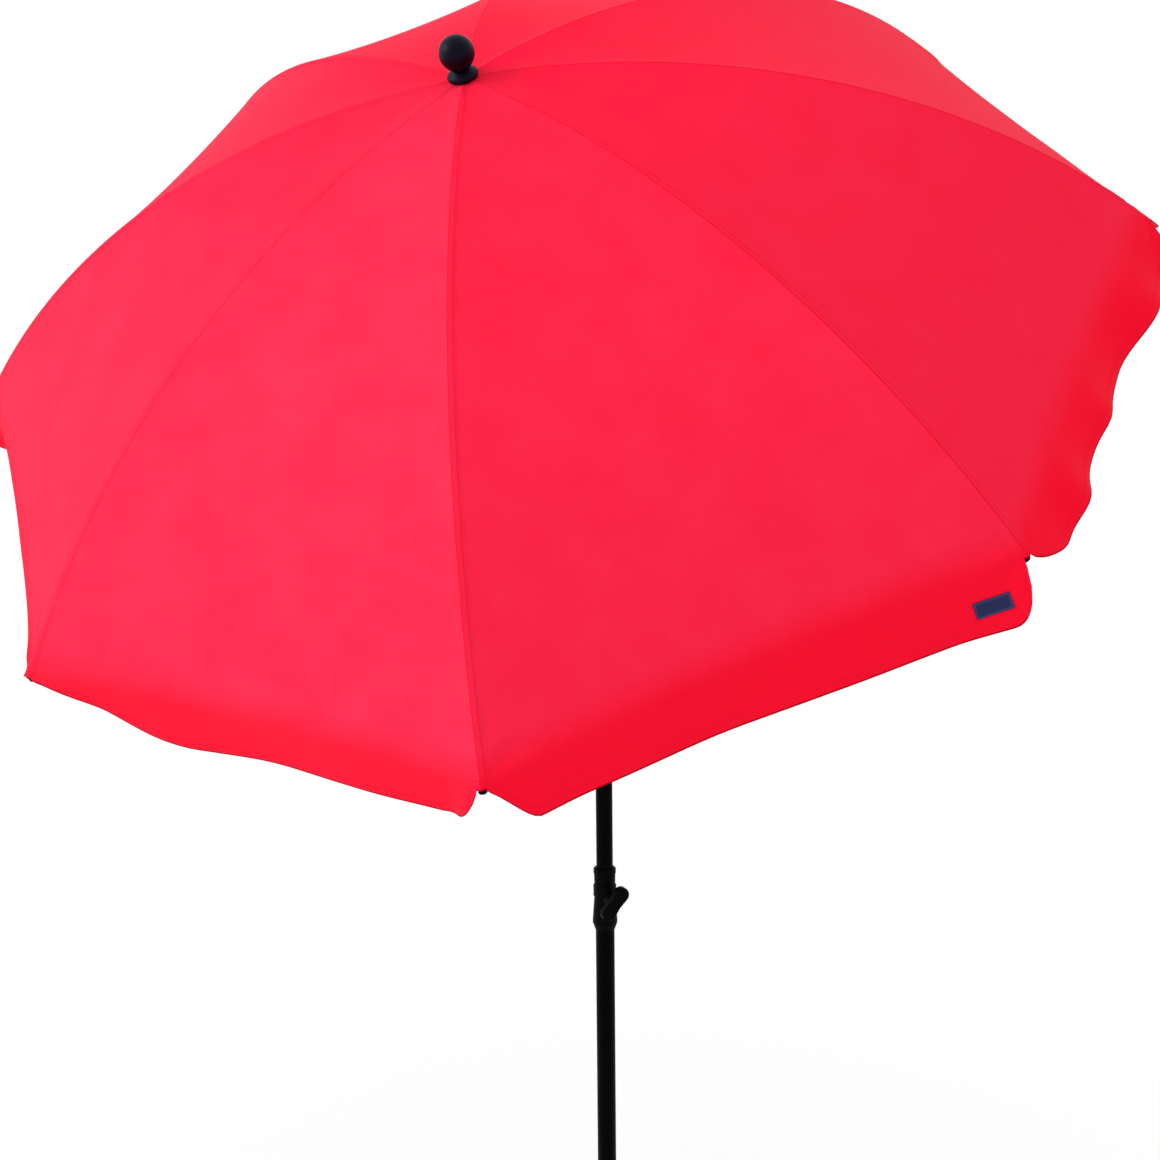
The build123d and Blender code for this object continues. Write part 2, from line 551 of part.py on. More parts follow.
def height_wing():
    """Wing knob moulded on the screw: a hub and two tapered lobes."""
    lobe = make_hull((Pos(WING_SPREAD, 0) * Circle(WING_LOBE)).edges() + Circle(WING_HUB).edges())
    plan = lobe + Rot(0, 0, 180) * lobe
    wing = extrude(Rot(0, 0, 90 + WING_TURN) * plan, WING_THICKNESS)
    wing = fillet(wing.faces().sort_by(Axis.Z)[-1].edges(), WING_EDGE)
    wing -= disc(SCREW_DIAMETER / 2, -1, WING_THICKNESS / 2)
    return sideways(Pos(0, 0, WING_START) * wing, SCREW_AZIMUTH, SCREW_HEIGHT)


def lower_pole():
    pole = tube(LOWER_DIAMETER / 2, TUBE_WALL, LOWER_BOTTOM, LOWER_TOP)
    hole = disc(SCREW_DIAMETER / 2 + PIN_CLEARANCE, 0, BOSS_REACH)
    return pole - sideways(hole, SCREW_AZIMUTH, SCREW_HEIGHT)


def upper_glide():
    plug = disc(UPPER_BORE - SPIGOT_CLEARANCE, UPPER_BOTTOM, UPPER_BOTTOM + SPIGOT_LENGTH)
    plug += disc(LOWER_BORE - GLIDE_CLEARANCE, UPPER_BOTTOM - GLIDE_LENGTH, UPPER_BOTTOM)
    return plug


# Base
def bolt_places():
    return PolarLocations(BOLT_CIRCLE, 4, 45)


def base_weight():
    outline = [
        Line((0, PAD_THICKNESS), (BASE_RADIUS, PAD_THICKNESS)),
        Line((BASE_RADIUS, PAD_THICKNESS), (BASE_RADIUS, BASE_EDGE)),
        ThreePointArc(
            (BASE_RADIUS, BASE_EDGE),
            ((BASE_RADIUS + BASE_TOP_RADIUS) / 2, BASE_CROWN),
            (BASE_TOP_RADIUS, BASE_HEIGHT),
        ),
        Line((BASE_TOP_RADIUS, BASE_HEIGHT), (0, BASE_HEIGHT)),
        Line((0, BASE_HEIGHT), (0, PAD_THICKNESS)),
    ]
    weight = revolve(Plane.XZ * make_face(outline), Axis.Z)
    weight -= disc(SOCKET_RADIUS + SOCKET_CLEARANCE, SOCKET_BOTTOM, 2 * BASE_HEIGHT)
    for place in bolt_places():
        weight -= place * disc(BOLT_DIAMETER / 2, BASE_HEIGHT - BOLT_DEPTH, 2 * BASE_HEIGHT)
    return weight


def base_socket():
    """Welded socket: tube with a floor, bolting flange and the boss for the clamp screw."""
    socket = disc(SOCKET_RADIUS, SOCKET_BOTTOM, SOCKET_TOP)
    socket += disc(FLANGE_RADIUS, BASE_HEIGHT, BASE_HEIGHT + FLANGE_THICKNESS)
    socket += sideways(disc(BASE_BOSS_RADIUS, 0, BASE_BOSS_REACH), SCREW_AZIMUTH, BASE_SCREW_HEIGHT)
    socket -= disc(SOCKET_BORE, SOCKET_BOTTOM + SOCKET_FLOOR, SOCKET_TOP + 1)
    hole = disc(BASE_SCREW_DIAMETER / 2 + PIN_CLEARANCE, 0, 2 * BASE_BOSS_REACH)
    socket -= sideways(hole, SCREW_AZIMUTH, BASE_SCREW_HEIGHT)
    for place in bolt_places():
        socket -= place * disc(BOLT_DIAMETER / 2, BASE_HEIGHT - 1, BASE_HEIGHT + FLANGE_THICKNESS + 1)
    return socket


def flange_bolts():
    seat = BASE_HEIGHT + FLANGE_THICKNESS
    flats = RegularPolygon(BOLT_HEAD_FLATS / 2, 6, major_radius=False)
    bolt = Pos(0, 0, seat) * extrude(flats, BOLT_HEAD_HEIGHT)
    bolt += disc(BOLT_DIAMETER / 2, BASE_HEIGHT - BOLT_DEPTH, seat)
    return Compound(children=[place * bolt for place in bolt_places()])


def socket_bushes():
    """Two plastic reducers between the socket and the lower tube; the upper one has a rim."""
    wall = SOCKET_BORE - LOWER_DIAMETER / 2 - BUSH_CLEARANCE
    upper = tube(SOCKET_BORE, wall, SOCKET_TOP - BUSH_LENGTH, SOCKET_TOP)
    upper += tube(SOCKET_RADIUS, wall + SOCKET_WALL, SOCKET_TOP, SOCKET_TOP + BUSH_RIM)
    floor = SOCKET_BOTTOM + SOCKET_FLOOR
    lower = tube(SOCKET_BORE, wall, floor, floor + FOOT_BUSH_LENGTH)
    return Compound(children=[upper, lower])


def base_screw():
    tip = LOWER_DIAMETER / 2 + SCREW_TIP_GAP
    stud = disc(BASE_SCREW_DIAMETER / 2, tip, KNOB_START + KNOB_LENGTH / 2)
    return sideways(stud, SCREW_AZIMUTH, BASE_SCREW_HEIGHT)


def base_knob():
    plan = Circle(KNOB_RADIUS)
    for place in PolarLocations(KNOB_RADIUS + KNOB_HOLLOW / 2, KNOB_LOBES):
        plan -= place * Circle(KNOB_HOLLOW)
    knob = extrude(plan, KNOB_LENGTH)
    knob -= disc(BASE_SCREW_DIAMETER / 2, -1, KNOB_LENGTH / 2)
    return sideways(Pos(0, 0, KNOB_START) * knob, SCREW_AZIMUTH, BASE_SCREW_HEIGHT)


def linkage_angles():
    """Fold of the linkage: runner travel and the swing of a stretcher against its rib."""
    arm = (JOINT_PIVOT[0] - CROWN_PIVOT[0], JOINT_PIVOT[1] - CROWN_PIVOT[1])
    turn = radians(FOLD_ANGLE)
    closed = (arm[0] * cos(turn) + arm[1] * sin(turn), arm[1] * cos(turn) - arm[0] * sin(turn))
    closed_lean = degrees(acos(closed[0] / STRETCHER_LENGTH))
    open_lean = degrees(acos(arm[0] / STRETCHER_LENGTH))
    closed_runner = CROWN_PIVOT[1] + closed[1] - STRETCHER_LENGTH * sin(radians(closed_lean))
    return RUNNER_PIVOT[1] - closed_runner, FOLD_ANGLE + closed_lean - open_lean


nodes = {
    "base_weight": base_weight(),
    "base_pad": disc(PAD_RADIUS, 0, PAD_THICKNESS),
    "base_socket": base_socket(),
    "flange_bolts": flange_bolts(),
    "socket_bushes": socket_bushes(),
    "base_screw": base_screw(),
    "base_knob": base_knob(),
    "lower_pole": lower_pole(),
    "clamp_body": clamp_body(),
    "clamp_liner": clamp_liner(),
    "clamp_nut": clamp_nut(),
    "height_screw": height_screw(),
    "height_wing": height_wing(),
    "upper_pole": tube(UPPER_DIAMETER / 2, TUBE_WALL, UPPER_BOTTOM, UPPER_TOP),
    "upper_glide": upper_glide(),
    "tilt_yoke": tilt_yoke(),
    "tilt_pin": tilt_pin(),
    "tilt_button": tilt_button(),
    "button_spring": button_spring(),
    "tilt_tongue": in_head(tilt_tongue()),
    "canopy_pole": in_head(tube(UPPER_DIAMETER / 2, TUBE_WALL, CANOPY_POLE_BOTTOM, HUB_BOTTOM)),
    "crown_hub": in_head(crown_hub()),
    "crown_pins": crown_pins(),
    "finial_stud": in_head(finial_stud()),
    "finial_collar": in_head(finial_collar()),
    "finial_ball": in_head(finial_ball()),
    "runner": in_head(runner()),
}
segment = cover_segment()
rib = rib_channel() + joint_rivet()
cap = rib_cap()
bar = stretcher()
for index in range(RIB_COUNT):
    number = index + 1
    nodes[f"rib_{number}"] = at_rib(rib, index)
    nodes[f"rib_cap_{number}"] = at_rib(cap, index)
    nodes[f"stretcher_{number}"] = at_rib(bar, index)
    nodes[f"cover_{number}"] = at_rib(segment, index)

os.makedirs("parts", exist_ok=True)
for name, shape in nodes.items():
    export_step(shape, f"parts/{name}.step")

travel, stretcher_swing = linkage_angles()
print("runner travel", round(travel, 3), "stretcher swing", round(stretcher_swing, 3))
print("crown pivot", CROWN_PIVOT, "joint pivot", JOINT_PIVOT, "runner pivot", RUNNER_PIVOT)
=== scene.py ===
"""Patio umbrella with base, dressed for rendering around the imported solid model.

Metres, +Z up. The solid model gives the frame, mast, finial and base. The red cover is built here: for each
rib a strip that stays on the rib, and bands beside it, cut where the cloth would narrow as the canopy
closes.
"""
import json
import math
from collections import namedtuple

import bpy
import numpy as np
from mathutils import Matrix, Vector


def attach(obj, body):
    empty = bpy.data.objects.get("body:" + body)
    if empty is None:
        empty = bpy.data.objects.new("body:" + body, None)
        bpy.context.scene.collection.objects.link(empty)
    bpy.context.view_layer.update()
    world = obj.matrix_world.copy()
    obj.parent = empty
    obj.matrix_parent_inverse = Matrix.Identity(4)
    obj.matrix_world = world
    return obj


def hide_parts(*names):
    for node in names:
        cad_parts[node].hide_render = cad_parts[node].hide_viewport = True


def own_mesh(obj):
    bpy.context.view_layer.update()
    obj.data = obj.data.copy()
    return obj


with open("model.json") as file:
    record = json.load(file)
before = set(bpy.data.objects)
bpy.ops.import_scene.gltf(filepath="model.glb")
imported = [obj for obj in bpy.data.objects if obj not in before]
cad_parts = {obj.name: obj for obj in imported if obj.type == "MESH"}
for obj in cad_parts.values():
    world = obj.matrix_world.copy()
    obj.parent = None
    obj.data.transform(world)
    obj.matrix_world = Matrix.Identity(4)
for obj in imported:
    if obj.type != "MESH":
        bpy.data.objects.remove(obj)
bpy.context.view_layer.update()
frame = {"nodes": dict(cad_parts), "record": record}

# Sizes shared with the solid model
TILT_HEIGHT = 1.380
TILT_ANGLE = math.radians(36)
CANOPY_REACH = 0.869
RIB_COUNT = 8
RIB_PHASE = 13.8
RIM_RADIUS = 0.850
BOW_RADIUS = 1.155
COVER_HOLE = 0.016

# Cover, as the cloth lies on the open frame
CLOTH = 0.0008               # thickness of one layer
HOLLOW = 0.008               # dip of a panel between its ribs
HOLLOW_SKEW = 0.7            # power of the distance from the crown in the dip's curve
HOLLOW_SPAN = 0.8            # part of half a sine wave that the dip follows down to the fold
FOLD_AT_RIB = 0.022          # fold of the valance, up the slope from a rib tip
FOLD_MIDDLE = 0.030          # and halfway between two ribs, on most panels
VALANCE_DEPTH = 0.078
SEAM_END = 0.023             # cloth past the fold, along a rib
NOTCH = 0.0055               # half width of the cut-out at a rib tip
ROLL = 0.020                 # length over which the cloth turns down
ROLL_STEPS = 24
WAVE_AT_FOLD = 0.15          # start of a wave's growth, which is full at the hem
HELD = 0.110                 # distance over which a rib holds the valance out, on most panels
NEAR_RIB = 0.014             # strip beside a rib that has its own columns, for the seam and the notch
STRIP_SHARE = 0.6            # most of a segment's width that the strip takes, close to the crown
SEAM_WIDTH = 0.008           # seam allowance, folded to one side of each rib
SEAM_RISE = 0.0004
HEM_WIDTH = 0.012
HEM_RISE = 0.0004
TAUT = 0.99                  # flat area of the stretched cloth, over its area on the frame

# Creases that run out from a rib tip
PUCKER = 0.0016              # height
PUCKERS = 6.0                # number in a full turn about the tip
PUCKER_PHASE = 0.6
PUCKER_REACH = 0.030         # distance from the tip where they are highest
PUCKER_SPREAD = 0.028        # and over which they fade to both sides
PUCKER_CLEAR = 0.008         # flat cloth beside the rib
PUCKER_EASE = 0.020          # and the width over which they rise beside it

# Grid of the cover
TOP_ROWS = 72
FALL_ROWS = 11               # between the fold and the hem
FAR_COLUMNS = 32             # between a rib's strip and the middle of a panel
FAR_SPREAD = 1.6             # they lie closer together near the rib
EDGE_STEP = 0.0004           # half the run of the small step at the edge of a seam or a hem
NOTCH_STEP = 0.0003
SHARP_ANGLE = math.radians(55)

# Closing of the cover. A rib swings about its crown pivot, and its cloth narrows, more so towards the tip
CROWN_PIVOT = (0.026, 0.8605)    # from the canopy axis, and above the tilt pivot
SWING = math.radians(63)
BANDS = 9                        # of a segment, each narrowing by one share
LEAST_SHARE = 0.04

# Valance of each panel, from the panel after the front rib onwards. hang is in degrees below the rim plane.
# fold is the fold's distance up the slope halfway between the ribs. extra is added to the depth at each end.
# corners has a length and a roundness for each end. A wave has its place across the panel (-1 to 1), its
# width and its swing at the hem. held is how far from each end the rib still holds the valance out.
Valance = namedtuple("Valance", "hang fold extra corners waves held", defaults=((HELD, HELD),))
ROUND = ((0.042, 1.0), (0.042, 1.0))
VALANCES = (
    Valance(
        62, FOLD_MIDDLE, (-0.004, 0.015), ((0.044, 0.3), (0.034, 1.0)),
        ((-0.60, 0.16, 0.001), (-0.20, 0.20, -0.006), (0.35, 0.25, 0.004)),
    ),
    Valance(
        60, FOLD_MIDDLE, (0.0, 0.0), ((0.080, 0.65), (0.040, 1.0)),
        ((-0.56, 0.12, 0.016), (-0.10, 0.10, 0.009), (0.25, 0.15, -0.006), (0.55, 0.20, 0.022)),
    ),
    Valance(72, FOLD_MIDDLE, (0.0, 0.0), ROUND, ((-0.40, 0.20, 0.007), (0.30, 0.22, -0.006))),
    Valance(78, FOLD_MIDDLE, (0.0, 0.0), ROUND, ((-0.30, 0.20, -0.007), (0.45, 0.20, 0.007))),
    Valance(78, FOLD_MIDDLE, (0.0, 0.0), ROUND, ((-0.50, 0.20, 0.006), (0.20, 0.25, -0.006))),
    Valance(78, FOLD_MIDDLE, (0.0, 0.0), ROUND, ((-0.20, 0.25, 0.007), (0.50, 0.18, -0.005))),
    Valance(
        100, 0.038, (0.0, 0.0), ((0.042, 1.0), (0.120, 0.5)),
        ((-0.45, 0.18, -0.006), (0.25, 0.22, 0.005)),
    ),
    Valance(
        80, FOLD_MIDDLE, (0.019, -0.004), ((0.235, 0.20), (0.062, 1.0)),
        ((-0.45, 0.18, 0.004), (0.05, 0.20, -0.005), (0.55, 0.20, 0.003)), (HELD, 0.055),
    ),
)

PLAIN_PANEL = 4              # one with a usual valance, on which the closing of the cover is measured

# Plain patch sewn to the front valance beside its right-hand rib tip
PATCH_PANEL = 0
PATCH_FROM_TIP = 0.055
PATCH_DOWN = 0.060
PATCH_SIZE = (0.042, 0.019)
PATCH_GRID = (25, 13)
PATCH_THICKNESS = 0.0009
PATCH_LIFT = 0.0002
PATCH_BORDER = (0.0008, 0.0026)    # from the patch's edge
PATCH_BORDER_RISE = 0.0004

# Colour of the cloth by its distance below the fold, with light and shade painted in: the valance's deep red
# down from the first is painted shade, the red paler over the fold is painted sheen, and a little deeper
# again up to the second, near the crown
RAMP_START = 0.020
RAMP_END = -0.780

# Painted sheen and light: share of pale red in each panel's cloth, highest on the panels towards the key
# light, with a factor that is higher above the fold
PANEL_SHEEN = (0.07, 0.01, 0.00, 0.00, 0.02, 0.03, 0.09, 0.20)
VALANCE_SHEEN = 0.7           # factor on the valance, which is 1 more above the fold
SHEEN_FROM = 0.030            # distance below the fold where it starts to rise
SHEEN_TO = -0.020             # and where it is full

THREAD_PAIR = 0.0011         # over and under, in the cloth's weave

# Sewing lines: distance from the rib line or up from the hem, and half the width
SEAM_LINE = (-0.0001, 0.0006)
SEAM_STITCHES = (0.0065, 0.0004)
HEM_STITCHES = (0.0100, 0.0005)
HEM_SHADOW = 0.0018            # turned edge, with a painted shadow along it

# Camera, at the photograph's viewing angle (metres, radians, millimetres of lens)
CAMERA_PLACE = (0.8765, -2.4683, 1.8125)
CAMERA_HEADING = math.radians(20.35)
CAMERA_PITCH = 0.1752
CAMERA_ROLL = -0.0106
CAMERA_LENS = 50.35
CAMERA_SENSOR = 36.0

# Light
KEY_PLACE = (-4.5, -3.3, 4.3)
KEY_TARGET = (0, -0.3, 1.7)
KEY_SIZE = 3.0
KEY_POWER = 160
WORLD_LIGHT = 0.94           # strength of the white all round, as light
WORLD_SEEN = 1.0             # and as the camera and reflections see it

# Floor: it is plain white to the camera, but near the base a share of its own shading shows
FLOOR_HALF = 30.0
FLOOR_GREY = (0.86, 0.86, 0.86)
SHADOW_FROM = 0.35           # distance from the base up to which the shading shows most
SHADOW_TO = 1.6              # and past which none of it does
SHADOW_WHITE = 0.80          # share of white near the base

RIB_STEP = 360.0 / RIB_COUNT
HALF_STEP = math.radians(RIB_STEP / 2)
TIP_SLOPE = math.asin(RIM_RADIUS / BOW_RADIUS)
BOW_CENTRE = CANOPY_REACH - BOW_RADIUS
HOLE_ARC = BOW_RADIUS * math.asin(COVER_HOLE / BOW_RADIUS)
RISE = BOW_RADIUS * TIP_SLOPE - FOLD_MIDDLE - HOLE_ARC
HALF_WIDTH = RIM_RADIUS * math.sin(HALF_STEP)


# Placing
def in_head(points):
    """Carry points from the upright canopy axis, with the tilt pivot at the origin, into the frame."""
    c, s = math.cos(TILT_ANGLE), math.sin(TILT_ANGLE)
    x, y, z = points[..., 0], points[..., 1], points[..., 2]
    return np.stack([x, y * c - z * s, TILT_HEIGHT + y * s + z * c], axis=-1)


def rib_azimuth(index):
    return math.radians(RIB_PHASE - 90 + RIB_STEP * index)


def smooth(x):
    x = np.clip(x, 0, 1)
    return x * x * (3 - 2 * x)


# Cover
def valance_length(panel, s):
    """Cloth below the fold, across a panel: cut away at the rib tips, with rounded corners."""
    valance = VALANCES[panel]
    length, roundness = valance.corners[0 if s < 0 else 1]
    x = min(max(((1 - abs(s)) * HALF_WIDTH - NOTCH) / length, 0), 1)
    corner = (1 - roundness) * float(smooth(x)) + roundness * math.sqrt(1 - (1 - x) ** 2)
    depth = VALANCE_DEPTH + valance.extra[0] * (1 - s) / 2 + valance.extra[1] * (1 + s) / 2
    return SEAM_END + (depth - SEAM_END) * corner


def valance_freedom(panel, s):
    """0 at a rib, which holds the valance out along its own slope, and 1 where the valance hangs freely."""
    first, last = VALANCES[panel].held
    return smooth((1 - np.abs(s)) * HALF_WIDTH / np.where(s < 0, first, last))


def valance_wave(panel, s):
    swing = np.zeros_like(s)
    for place, width, height in VALANCES[panel].waves:
        swing += height * np.exp(-(((s - place) / width) ** 2))
    return swing * valance_freedom(panel, s)


def pucker(s, t):
    """Small creases in the cloth that run out from the rib tips."""
    away = (1 - np.abs(s)) * HALF_WIDTH
    along = t - SEAM_END / 2
    reach = np.hypot(away, along)
    crease = np.sin(PUCKERS * np.arctan2(along, away) + PUCKER_PHASE)
    crease = crease * np.exp(-(((reach - PUCKER_REACH) / PUCKER_SPREAD) ** 2))
    return PUCKER * crease * smooth((away - PUCKER_CLEAR) / PUCKER_EASE)


def panel_points(panel, s, t):
    """Outer face of a panel. s runs from -1 to 1 across it, t is the cloth's distance below the fold."""
    bow = 1 - s * s
    fold = BOW_RADIUS * TIP_SLOPE - FOLD_AT_RIB - (VALANCES[panel].fold - FOLD_AT_RIB) * bow
    arc = fold + np.minimum(t, 0) * (fold - HOLE_ARC) / RISE
    slope = arc / BOW_RADIUS
    radius = BOW_RADIUS * np.sin(slope)
    reach = radius * math.cos(HALF_STEP)
    height = BOW_CENTRE + BOW_RADIUS * np.cos(slope)
    u = arc / fold
    dip = HOLLOW * bow * np.sin(math.pi * np.clip(u, 0, 1) ** HOLLOW_SKEW * HOLLOW_SPAN)
    lean = np.arctan2(np.sin(slope), np.cos(slope) * math.cos(HALF_STEP))
    reach = reach - dip * np.sin(lean)
    height = height - dip * np.cos(lean)
    below = np.maximum(t, 0)
    turn = (math.radians(VALANCES[panel].hang) - lean) * valance_freedom(panel, s)
    for step in range(ROLL_STEPS):
        angle = lean + turn * smooth(below * (step + 0.5) / ROLL_STEPS / ROLL)
        reach = reach + np.cos(angle) * below / ROLL_STEPS
        height = height - np.sin(angle) * below / ROLL_STEPS
    growth = smooth(WAVE_AT_FOLD + (1 - WAVE_AT_FOLD) * t / VALANCE_DEPTH)
    swing = valance_wave(panel, s) * growth + pucker(s, t)
    angle = lean + turn
    reach = reach + swing * np.sin(angle)
    height = height + swing * np.cos(angle)
    across = s * math.sin(HALF_STEP) * (radius + np.minimum(below, FOLD_AT_RIB) * np.cos(slope))
    middle = rib_azimuth(panel) + HALF_STEP
    x = reach * math.cos(middle) - across * math.sin(middle)
    y = reach * math.sin(middle) + across * math.cos(middle)
    return np.stack([x, y, height], axis=-1)


def cover_columns():
    """Distances from the rib line to a strip's columns, left and right, and shares of the way beyond it."""
    notch = (NOTCH, NOTCH + NOTCH_STEP)
    seam = (SEAM_WIDTH - EDGE_STEP, SEAM_WIDTH + EDGE_STEP)
    near_left = (0.0003, 0.0010, 0.0030, *notch, 0.0090, NEAR_RIB)
    near_right = (0.0003, 0.0012, 0.0030, *notch, *seam, NEAR_RIB)
    far = np.linspace(0, 1, FAR_COLUMNS + 1)[1:] ** FAR_SPREAD
    return near_left, near_right, far


def cover_rows():
    """Distances below the fold, negative above it, shares of the way to the hem, and distances inside it."""
    top = -RISE * np.linspace(1, 0, TOP_ROWS)
    fall = np.linspace(0, 1, FALL_ROWS + 2)[1:-1]
    inside_hem = (0.7 * HEM_WIDTH, 0.35 * HEM_WIDTH, 0.0006, 0.0)
    return top, fall, (HEM_WIDTH + EDGE_STEP, HEM_WIDTH - EDGE_STEP, *inside_hem)


Column = namedtuple("Column", "panel gap s rows length")


def segment_grid(index):
    """Columns of a segment: the panel, the signed distance from the rib, the place across the panel and the
    distance below the fold at each row, and the valance's length there.
    """
    near_left, near_right, far = cover_columns()
    top, fall, hem = cover_rows()
    columns = []
    for panel, near, sign in (((index - 1) % RIB_COUNT, near_left, -1), (index, near_right, 1)):
        steps = [*near, *(NEAR_RIB + (HALF_WIDTH - NEAR_RIB) * far)]
        for gap in steps[::sign]:
            length = valance_length(panel, -sign * (1 - gap / HALF_WIDTH))
            hem_rows = length - np.array(hem)
            rows = np.concatenate([top, hem_rows[0] * fall, hem_rows])
            width, strip = half_widths(rows)
            if gap <= NEAR_RIB:
                away = strip * gap / NEAR_RIB
            else:
                away = strip + (width - strip) * (gap - NEAR_RIB) / (HALF_WIDTH - NEAR_RIB)
            columns.append(Column(panel, sign * gap, sign * (away / width - 1), rows, length))
    return columns


def half_widths(t):
    """Half width of a segment at t, and of the strip over its rib."""
    slope = (BOW_RADIUS * TIP_SLOPE - FOLD_MIDDLE + np.minimum(t, 0)) / BOW_RADIUS
    width = BOW_RADIUS * np.sin(slope) * math.sin(HALF_STEP)
    return width, np.minimum(NEAR_RIB, STRIP_SHARE * width)


def shut_share(t):
    """Share of a segment's width at t that makes it meet its neighbours when the canopy is shut."""
    x, y, height = panel_points(PLAIN_PANEL, np.zeros_like(t), t).T
    reach = np.hypot(x, y) * math.cos(HALF_STEP)
    out, up = reach - CROWN_PIVOT[0], height - CROWN_PIVOT[1]
    shut = CROWN_PIVOT[0] + out * math.cos(SWING) + up * math.sin(SWING)
    return np.clip(shut / reach, LEAST_SHARE, 1.0)


def band_edges():
    """Rows where the bands of a segment meet, closer together where wide cloth narrows faster."""
    top, fall, hem = cover_rows()
    share = shut_share(top)
    width = half_widths(top)[0]
    step = np.cumsum(np.maximum(share[:-1] - share[1:], 0) * np.sqrt(width[1:]))
    inner = np.searchsorted(step, step[-1] * np.arange(1, BANDS) / BANDS)
    last = len(top) + len(fall) + len(hem) - 1
    return [0, *(int(row) for row in inner), last]


def outward_normals(points):
    """Normals of a grid of points, on the side away from the tilt pivot."""
    normal = np.cross(np.gradient(points, axis=0), np.gradient(points, axis=1))
    normal /= np.linalg.norm(normal, axis=-1, keepdims=True)
    facing = np.sum(normal * (points - np.array([0, 0, TILT_HEIGHT])))
    return -normal if facing < 0 else normal


Shell = namedtuple("Shell", "outer inner values joined")


def sheet_mesh(name, shells):
    """Thin closed shells in one mesh. A shell has grids of points for its two faces, values for each point,
    and the outer face's normals along the edges where the cloth goes on in another mesh, 0 elsewhere.
    """
    points, faces, walls, normals = [], [], [], []
    values = {key: [] for key in shells[0].values}
    start = 0
    for shell in shells:
        rows, columns = shell.outer.shape[:2]
        count = rows * columns
        points += [shell.outer.reshape(-1, 3), shell.inner.reshape(-1, 3)]
        normals += [shell.joined.reshape(-1, 3), -shell.joined.reshape(-1, 3)]
        for key, value in shell.values.items():
            values[key] += [value.ravel(), value.ravel()]
        number = start + np.arange(count).reshape(rows, columns)
        a, b = number[:-1, :-1].ravel(), number[1:, :-1].ravel()
        c, d = number[1:, 1:].ravel(), number[:-1, 1:].ravel()
        faces += [np.stack([a, b, c, d], 1), np.stack([d, c, b, a], 1) + count]
        ring = np.concatenate([number[0, :-1], number[:-1, -1], number[-1, :0:-1], number[:0:-1, 0]])
        after = np.roll(ring, -1)
        walls.append(np.stack([ring, after, after + count, ring + count], 1))
        start += 2 * count
    faces = np.concatenate(faces)
    mesh = bpy.data.meshes.new(name)
    mesh.from_pydata(np.concatenate(points).tolist(), [], np.concatenate([faces, *walls]).tolist())
    for key, value in values.items():
        layer = mesh.attributes.new(key, "FLOAT", "POINT")
        layer.data.foreach_set("value", np.concatenate(value).astype(np.float32))
    mesh.shade_smooth()
    mesh.set_sharp_from_angle(angle=SHARP_ANGLE)
    at_corner = np.zeros((len(mesh.loops), 3))
    at_corner[: faces.size] = np.concatenate(normals)[faces.ravel()]
    if at_corner.any():
        mesh.normals_split_custom_set(at_corner.tolist())
    mesh.update()
    thing = bpy.data.objects.new(name, mesh)
    bpy.context.scene.collection.objects.link(thing)
    return thing


def cover_segment(index):
    """The cloth of one rib: a strip over the rib, and the bands of its two flanks."""
    columns = segment_grid(index)
    points = in_head(np.stack([panel_points(c.panel, c.s, c.rows) for c in columns], axis=1))
    along = np.stack([c.rows for c in columns], axis=1)
    values = {
        "seam": np.zeros_like(along) + [c.gap for c in columns],
        "hem": [c.length for c in columns] - along,
        "along": along,
        # painted sheen of each point's panel
        "painted_sheen": np.zeros_like(along) + [PANEL_SHEEN[c.panel] for c in columns],
    }
    normal = outward_normals(points)
    seam, hem = values["seam"], values["hem"]
    rise = np.where((seam > 0) & (seam < SEAM_WIDTH), SEAM_RISE, 0.0)
    rise = np.maximum(rise, np.where(hem < HEM_WIDTH, HEM_RISE, 0.0))
    outer = points + normal * rise[..., None]
    inner = points - normal * CLOTH
    edges = band_edges()
    near = np.flatnonzero(np.abs(seam[0]) <= NEAR_RIB)
    left, right = near[0], near[-1]
    joined = np.zeros_like(normal)
    joined[edges[1:-1]] = normal[edges[1:-1]]
    joined[:, [left, right]] = normal[:, [left, right]]

    def shell(*cut):
        return Shell(outer[cut], inner[cut], {key: value[cut] for key, value in values.items()}, joined[cut])

    strip = sheet_mesh(f"cover_strip_{index + 1}", [shell(slice(None), slice(left, right + 1))])
    bands = []
    for number, (first, last) in enumerate(zip(edges[:-1], edges[1:])):
        span = slice(first, last + 1)
        flanks = [shell(span, slice(0, left + 1)), shell(span, slice(right, None))]
        bands.append(sheet_mesh(f"cover_cloth_{index + 1}_{number + 1}", flanks))
    return strip, bands


def cover_patch():
    """Plain woven patch on the valance, with a sewn border."""
    across, down = np.meshgrid(*(np.linspace(-0.5, 0.5, count) for count in PATCH_GRID))
    width, height = PATCH_SIZE
    s = 1 - (PATCH_FROM_TIP + across * width) / HALF_WIDTH
    points = in_head(panel_points(PATCH_PANEL, s, PATCH_DOWN + down * height))
    normal = outward_normals(points)
    edge = np.minimum((0.5 - np.abs(across)) * width, (0.5 - np.abs(down)) * height)
    border = np.where((edge > PATCH_BORDER[0]) & (edge < PATCH_BORDER[1]), PATCH_BORDER_RISE, 0.0)
    outer = points + normal * (PATCH_LIFT + PATCH_THICKNESS + border)[..., None]
    inner = points + normal * PATCH_LIFT
    return sheet_mesh("cover_patch", [Shell(outer, inner, {"edge": edge}, np.zeros_like(outer))])


